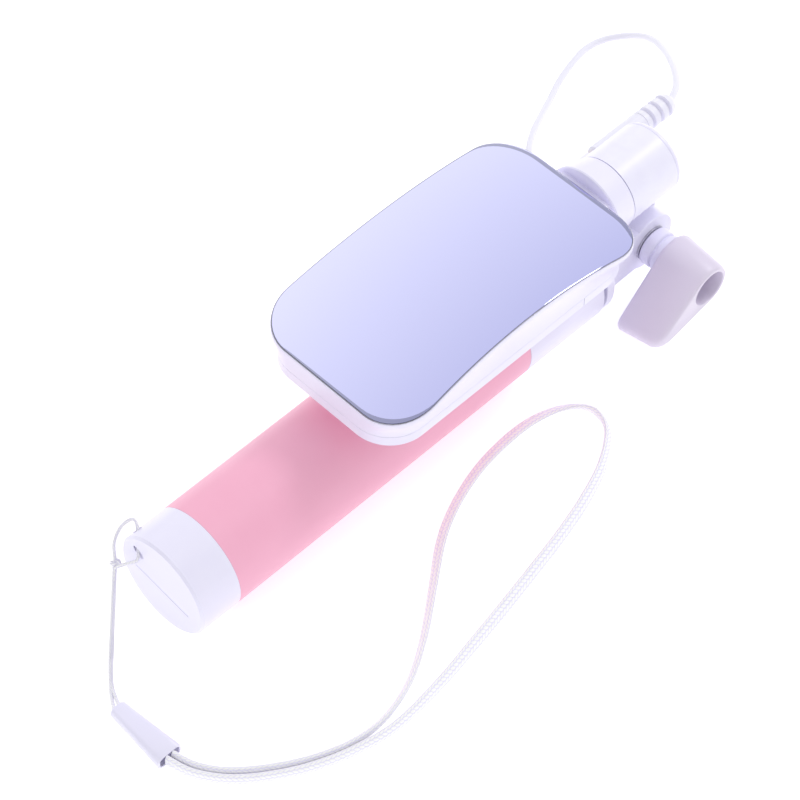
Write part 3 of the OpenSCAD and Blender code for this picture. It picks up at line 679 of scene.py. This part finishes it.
def make_knob():
    """The wing knob: a hub and one paddle, narrower at their outer end, with a round pocket in the hub."""
    y_in = KNOB_INNER_Y
    y_out, y_face = (side.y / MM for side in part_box("wing_knob"))
    arc_points = 30

    def ring(y, inset, tuck=0.0):
        """The outline at y, drawn in all round by inset and at the paddle's tip by tuck as well."""
        t = (y - y_in) / (y_out - y_in)
        hub = [a + (b - a) * t for a, b in zip(HUB_IN, HUB_OUT)]
        tip = [a + (b - a) * t for a, b in zip(TIP_IN, TIP_OUT)]
        tip_at = (tip[0] + tuck * 0.85, tip[1] + tuck * 0.5)
        outline = two_circle_outline(hub[:2], hub[2], tip_at, tip[2], inset, 2 * arc_points)
        return [(HINGE_X + x, y, z) for x, z in outline]

    def pocket(y, radius):
        """A circle about the hub's outer centre, with as many points as the outline."""
        return [(HINGE_X + HUB_OUT[0] + radius * math.cos(a), y, HUB_OUT[1] + radius * math.sin(a))
                for a in hub_arc + tip_arc]

    run, rise = TIP_OUT[0] - HUB_OUT[0], TIP_OUT[1] - HUB_OUT[1]
    way = math.atan2(rise, run)
    lean = math.acos((HUB_OUT[2] - TIP_OUT[2]) / math.hypot(run, rise))
    hub_arc = [way + lean + (math.tau - 2 * lean) * i / (arc_points - 1) for i in range(arc_points)]
    tip_arc = [way - lean + 2 * lean * (i + 0.5) / arc_points for i in range(arc_points)]
    rings = [ring(y_in, 1.6, 1.2), ring(y_in - 0.15, 0.9, 0.6), ring(y_in - 0.5, 0.35, 0.2),
             ring(y_in - 1.3, 0.0), ring(y_out + 2.6, 0.0), ring(y_out + 1.5, 0.0, 0.5),
             ring(y_out + 0.7, 0.08, 1.3), ring(y_out + 0.2, 0.3, 2.3), ring(y_out, 0.65, 3.2),
             pocket(y_out, 5.3), pocket(y_out + 0.1, 5.1), pocket(y_out + 0.5, 4.95),
             pocket(y_out + POCKET_DEPTH, 4.6)]
    # The wing takes the darker knob colour, which is painted shade.
    finish_piece("knob_wing", skin(rings), KNOB_WHITE_PAINTED_SHADE, "knob", ["wing_knob"], sharp=40)
    boss_l = y_face - y_in + 0.6
    boss = turned([(0.0, 0.0), (0.0, 4.6), (0.35, 5.1), (0.8, 5.3), (3.1, 5.3), (3.4, 5.0), (3.4, 4.7),
                   (4.0, 4.7), (4.0, 5.0), (4.3, 5.3), (boss_l, 5.3), (boss_l, 0.0)])
    bmesh.ops.rotate(boss, verts=boss.verts, cent=(0, 0, 0), matrix=Matrix.Rotation(-math.pi / 2, 3, "Z"))
    bmesh.ops.translate(boss, verts=boss.verts, vec=mm(HINGE_X, y_face, 0))
    finish_piece("knob_boss", boss, WHITE, "knob")


def make_head():
    """The fork, the barrel and the metal parts of the hinge and the swivel."""
    softened("fork", WHITE, 0.35, 3)
    softened("cord_grommet", WHITE, 0.15, 2)
    softened("head_barrel", WHITE, 0.4, 3)
    softened("barrel_cap", WHITE, 0.3, 3)
    dress(PLATED_STEEL, "hinge_nut", "hinge_screw", "hinge_washer")
    dress(PLATED_STEEL, "swivel_stud", "swivel_washer", "swivel_nut")


# Where the strain relief's grooves start, from its body end, and how deep they are.
GROOVES = (1.5, 4.5, 7.5)
GROOVE_DEPTH = 0.9


def make_plug():
    """The parked plug: a smooth body, then a grooved strain relief with a rounded end."""
    softened("plug_body", LEAD_WHITE, 0.2, 3)
    low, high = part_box("plug_relief")
    axis_y = (low.y + high.y) / 2 / MM
    axis_z = (low.z + high.z) / 2 / MM
    full = (high.z - low.z) / 2 / MM
    x0, x1 = low.x / MM, high.x / MM
    profile = [(x0, 0), (x0, full - 0.25), (x0 + 0.2, full)]
    for g in GROOVES:
        profile += [(x0 + g, full), (x0 + g + 0.15, full - 0.12), (x0 + g + 0.3, full - GROOVE_DEPTH),
                    (x0 + g + 1.1, full - GROOVE_DEPTH), (x0 + g + 1.25, full - 0.12), (x0 + g + 1.4, full)]
    profile += [(x1 - 1.6, full - 0.25), (x1 - 0.8, full - 0.7), (x1 - 0.2, full - 1.4), (x1, full - 1.9),
                (x1, 0)]
    relief = turned(profile, axis_y, axis_z, 64)
    finish_piece("plug_relief_turned", relief, LEAD_WHITE, "head", ["plug_relief"])
    dress(JACK_GOLD, "jack_tip", "jack_contacts")
    dress(JACK_BLACK, "jack_insulators")


# ---------------------------------------------------------------- the clamp

MIRROR_LOW, MIRROR_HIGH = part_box("mirror_trim")
MIRROR_X = (MIRROR_LOW.x + MIRROR_HIGH.x) / 2 / MM
MIRROR_L = (MIRROR_HIGH.x - MIRROR_LOW.x) / MM
MIRROR_W = 50.3
MIRROR_CORNER = 12.1
MIRROR_WAIST = 1.31
BEND_R = 137.7
BEND_Z = -100.5
BASE_X = 94.63
BASE_L = 85.2
BASE_W = 44.2
BASE_CORNER = 10.8
SHELL_Z = 24.3
COVER_WALL = 1.6
FLARE_POWER = 2.1
RING_L = 7.7
NECK_SIZE = (8.0, 16, 5.6)
NECK_CENTRE = (139.3, 0, 24.1)
NECK_EDGE = 0.9


def face_z(x, drop=0.0):
    """Height of the bent surface, drop millimetres below the mirror's face."""
    return BEND_Z + math.sqrt((BEND_R - drop) ** 2 - (x - MIRROR_X) ** 2)


def plate_outline(centre_x, length, width, corner, waist=0.0, along=24, across=14, arc=12):
    """A rounded rectangle, its long sides drawn in by waist at their middle, from +X round to +Y."""
    points = []
    sx, sy = length / 2 - corner, width / 2 - corner
    for quarter in range(4):
        cx = sx if quarter in (0, 3) else -sx
        cy = sy if quarter in (0, 1) else -sy
        for i in range(arc + 1):
            a = math.pi / 2 * (quarter + i / arc)
            points.append((cx + corner * math.cos(a), cy + corner * math.sin(a)))
        end = ((-sx, sy + corner), (-sx - corner, -sy), (sx, -sy - corner), (sx + corner, sy))[quarter]
        start = points[-1]
        count = along if quarter in (0, 2) else across
        for i in range(1, count):
            t = i / count
            points.append((start[0] + (end[0] - start[0]) * t, start[1] + (end[1] - start[1]) * t))
    bent = []
    for x, y in points:
        pull = waist * max(0.0, 1 - (x / (length / 2)) ** 2) * (y / (width / 2))
        bent.append((centre_x + x, y - pull))
    return bent


def mirror_outline(inset):
    """The mirror's outline seen from above, drawn in by inset all round."""
    return plate_outline(MIRROR_X, MIRROR_L - 2 * inset, MIRROR_W - 2 * inset, MIRROR_CORNER - inset,
                         MIRROR_WAIST)


def on_bend(outline, drop):
    """The outline laid on the bent surface, drop millimetres below the mirror's face."""
    return [(x, y, face_z(x, drop)) for x, y in outline]


def shrink(outline, centre_x, factor):
    """The outline scaled about the point (centre_x, 0)."""
    return [(centre_x + (x - centre_x) * factor, y * factor) for x, y in outline]


def make_mirror():
    """The bent mirror and the thin dark rim round it."""
    side = mirror_outline(0.42)
    edge = mirror_outline(0.55)
    rings = [on_bend(side, 1.2), on_bend(side, 0.06), on_bend(edge, 0.0)]
    steps = 24
    for i in range(1, steps):
        rings.append(on_bend(shrink(edge, MIRROR_X, 1 - i / steps), 0.0))
    finish_piece("mirror_face", skin(rings), MIRROR, "clamp", ["mirror_plate"], sharp=40)
    rim = skin([on_bend(mirror_outline(0.2), 0.9), on_bend(mirror_outline(0.2), 0.2),
                on_bend(mirror_outline(0.25), 0.1), on_bend(mirror_outline(0.36), 0.1),
                on_bend(mirror_outline(0.4), 0.3), on_bend(mirror_outline(0.4), 0.9)], False, False)
    finish_piece("mirror_rim", rim, RIM_CHROME, "clamp", ["mirror_trim"], sharp=60)
    dress(TAPE_GREY, "mirror_tape")


def make_cover():
    """The clamp's cover: upright at its foot, flaring out in a hollow curve to the mirror."""
    foot = plate_outline(BASE_X, BASE_L, BASE_W, BASE_CORNER)
    brim = mirror_outline(0.0)
    lip = mirror_outline(0.2)
    rings = []
    levels = 12
    for i in range(levels + 1):
        t = i / levels
        flare = t ** FLARE_POWER
        ring = []
        for (fx, fy), (bx, by) in zip(foot, brim):
            x = fx + (bx - fx) * flare
            y = fy + (by - fy) * flare
            top = face_z(bx, 1.7)
            ring.append((x, y, SHELL_Z + (top - SHELL_Z) * t))
        rings.append(ring)
    rings += [on_bend(brim, 0.7), on_bend(mirror_outline(0.04), 0.42), on_bend(mirror_outline(0.1), 0.3),
              on_bend(mirror_outline(0.18), 0.28), on_bend(lip, 1.3)]
    inner = plate_outline(BASE_X, BASE_L - 2 * COVER_WALL, BASE_W - 2 * COVER_WALL,
                          BASE_CORNER - COVER_WALL)
    under = [[(x, y, face_z(x, 3.6)) for x, y in shrink(inner, BASE_X, 1 - k / 10)] for k in range(10)]
    outer_roof = [on_bend(shrink(lip, MIRROR_X, 1 - k / 10), 2.4) for k in range(1, 10)]
    bottom = [[(x, y, SHELL_Z) for x, y in inner]]
    bm = skin(list(reversed(under)) + bottom + rings + outer_roof)
    finish_piece("clamp_cover", bm, WHITE, "clamp", ["clamp_shell"], sharp=50)


def make_swivel_ring():
    """The ring at the cover's head end, tapering to the barrel, and the neck that joins them."""
    stud_low, stud_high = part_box("swivel_stud")
    axis_z = (stud_low.z + stud_high.z) / 2 / MM
    x1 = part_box("clamp_shell")[1].x / MM
    x0 = x1 - RING_L
    profile = [(x0 + 1.6, 0), (x0 + 1.6, 5.0), (x0 + 0.1, 5.0), (x0, 5.1), (x0, 11.0), (x0 + 0.15, 11.4),
               (x0 + 0.5, 11.6), (x1 - 0.5, 10.05), (x1 - 0.15, 9.95), (x1, 9.7), (x1, 0)]
    finish_piece("swivel_ring", turned(profile, 0, axis_z), WHITE, "clamp")
    bm = bmesh.new()
    bmesh.ops.create_cube(bm, size=1.0)
    bmesh.ops.scale(bm, verts=bm.verts, vec=mm(*NECK_SIZE))
    bmesh.ops.translate(bm, verts=bm.verts, vec=mm(*NECK_CENTRE))
    bmesh.ops.bevel(bm, geom=bm.edges[:], offset=NECK_EDGE * MM, offset_type="OFFSET", segments=4,
                    profile=0.5, affect="EDGES", material=-1)
    finish_piece("clamp_neck", bm, WHITE, "clamp")


WIRE_R = 0.22
COIL_R = 1.12
COILS = 15


def make_springs():
    """The two coil springs round the guide rods, wound evenly between their ends; in the real clamp they
    are squeezed towards the bearing block as it opens.
    """
    low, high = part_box("return_springs")
    steps = 16
    start, end = low.x / MM + WIRE_R, high.x / MM - WIRE_R
    axis_z = (low.z + high.z) / 2 / MM
    rod_y = (high.y / MM - low.y / MM) / 2 - (high.z - low.z) / 2 / MM
    for side, name in ((-1, "spring_near"), (1, "spring_far")):
        rings = []
        for i in range(COILS * steps + 1):
            a = math.tau * i / steps
            x = start + (end - start) * i / (COILS * steps)
            out = Vector((0, math.cos(a), math.sin(a)))
            centre = Vector((x, side * rod_y, axis_z)) + out * COIL_R
            rings.append([tuple(centre + WIRE_R * (math.cos(math.tau * k / 8) * out
                                                   + math.sin(math.tau * k / 8) * Vector((1, 0, 0))))
                          for k in range(8)])
        spring = finish_piece(name, skin(rings), PLATED_STEEL, "clamp", ["return_springs"])
        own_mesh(spring)


def make_clamp():
    """Everything that turns on the swivel: the cover with its mirror, both claws, the rods and springs."""
    make_mirror()
    make_cover()
    make_swivel_ring()
    softened("base_slider", WHITE, 0.7, 3)
    softened("base_fixed", WHITE, 0.7, 3)
    softened("mat_slider", PAD_PINK, 0.25, 2)
    softened("mat_fixed", PAD_PINK, 0.25, 2)
    softened("bearing_block", WHITE, 0.2, 2)
    softened("tail_claw", WHITE, 0.25, 2)
    softened("head_claw", WHITE, 0.25, 2)
    softened("tail_claw_pads", PAD_PINK, 0.1, 2)
    softened("head_claw_pads", PAD_PINK, 0.1, 2)
    make_springs()
    dress(PLATED_STEEL, "guide_rods", "clamp_screws", "tail_claw_pin", "head_claw_pin")


# ---------------------------------------------------------------- light and floor

FLOOR_GLOW = 0.42
WORLD_GLOW = 0.62
LAMPS_FACE = mm(80, 0, 30)
# Each lamp's name, place in metres, width, height and brightness.
LAMPS = (
    ("white card", (0.52, 0.42, 0.8), 2.8, 1.5, 0.5),
    ("key", (0.75, -0.12, 0.75), 0.25, 0.25, 10.0),
    ("tail side", (-0.8, -0.1, 0.45), 0.5, 0.5, 1.2),
    ("front", (0.1, -0.9, 0.5), 0.7, 0.5, 0.3))


def make_studio():
    """A plain pale floor, broad soft light and one small strong lamp beyond the head."""
    bm = bmesh.new()
    bmesh.ops.create_grid(bm, x_segments=1, y_segments=1, size=3.0)
    bmesh.ops.translate(bm, verts=bm.verts, vec=(0, 0, FLOOR_Z))
    floor_material = bpy.data.materials.new("floor")
    floor_material.use_nodes = True
    shader = floor_material.node_tree.nodes["Principled BSDF"]
    shader.inputs["Base Color"].default_value = (0.97, 0.97, 0.97, 1)
    shader.inputs["Roughness"].default_value = 0.9
    shader.inputs["Specular IOR Level"].default_value = 0.1
    shader.inputs["Emission Color"].default_value = (1, 1, 1, 1)
    shader.inputs["Emission Strength"].default_value = FLOOR_GLOW
    floor = finish_piece("floor", bm, floor_material)
    world = bpy.data.worlds.new("studio")
    world.use_nodes = True
    world.node_tree.nodes["Background"].inputs["Color"].default_value = (1.0, 1.0, 1.0, 1)
    world.node_tree.nodes["Background"].inputs["Strength"].default_value = WORLD_GLOW
    bpy.context.scene.world = world
    for name, place, wide, tall, glow in LAMPS:
        data = bpy.data.lights.new(name, "AREA")
        data.shape = "RECTANGLE"
        data.size = wide
        data.size_y = tall
        data.energy = glow * math.pi * wide * tall
        lamp = bpy.data.objects.new(name, data)
        bpy.context.scene.collection.objects.link(lamp)
        lamp.location = place
        lamp.rotation_euler = (LAMPS_FACE - Vector(place)).to_track_quat("-Z", "Y").to_euler()
    bpy.context.scene.view_settings.view_transform = "Standard"


make_plug()
make_slider()
make_lead()
make_knot()
make_string("string_eye", "string_loop", LOOP_ROUTE)
make_string("string_strand_left", "string_left", STRING_LEFT_ROUTE)
make_string("string_strand_right", "string_right", STRING_RIGHT_ROUTE)
make_band()
make_handle()
make_head()
make_knob()
make_clamp()
make_studio()
